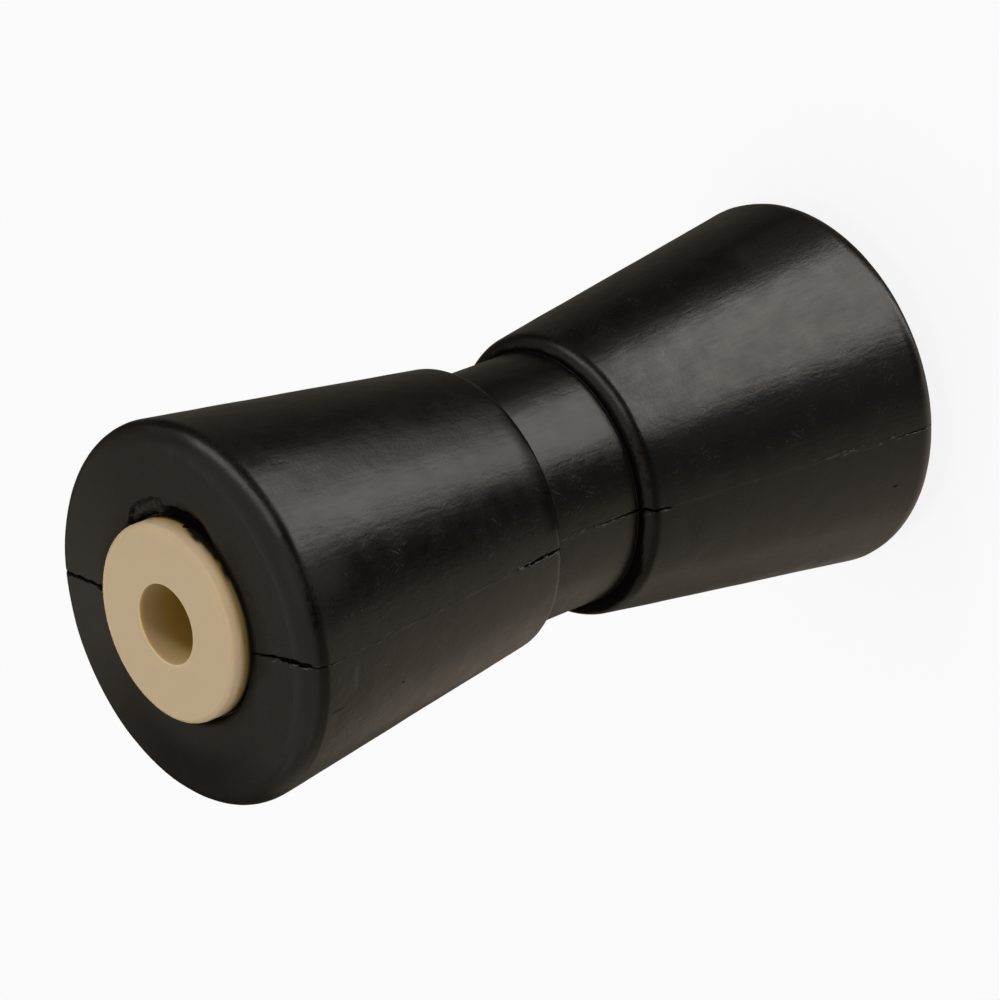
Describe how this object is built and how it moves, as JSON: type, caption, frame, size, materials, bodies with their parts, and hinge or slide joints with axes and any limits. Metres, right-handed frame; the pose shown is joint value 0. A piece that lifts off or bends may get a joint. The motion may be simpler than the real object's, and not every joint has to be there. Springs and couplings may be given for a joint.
{
  "type": "boat trailer roller",
  "caption": "Black rubber keel roller, two cones meeting at a narrower waist, with a flanged nylon bush pressed into each end for a through spindle.",
  "frame": {"origin": "middle of the spindle bore, halfway along the roller", "axes": "+Z along the bore and up as the roller stands on its lower bush; the mould's parting line lies in the YZ plane, and -Y is the side whose parting line is torn"},
  "size_m": [0.0922, 0.0928, 0.208],
  "materials": {
    "rubber": "moulded, dull sheen",
    "nylon": "moulded, satin"
  },
  "bodies": {
    "root": {"rubber_roller": "rubber", "upper_bush": "nylon", "lower_bush": "nylon"}
  },
  "joints": []
}
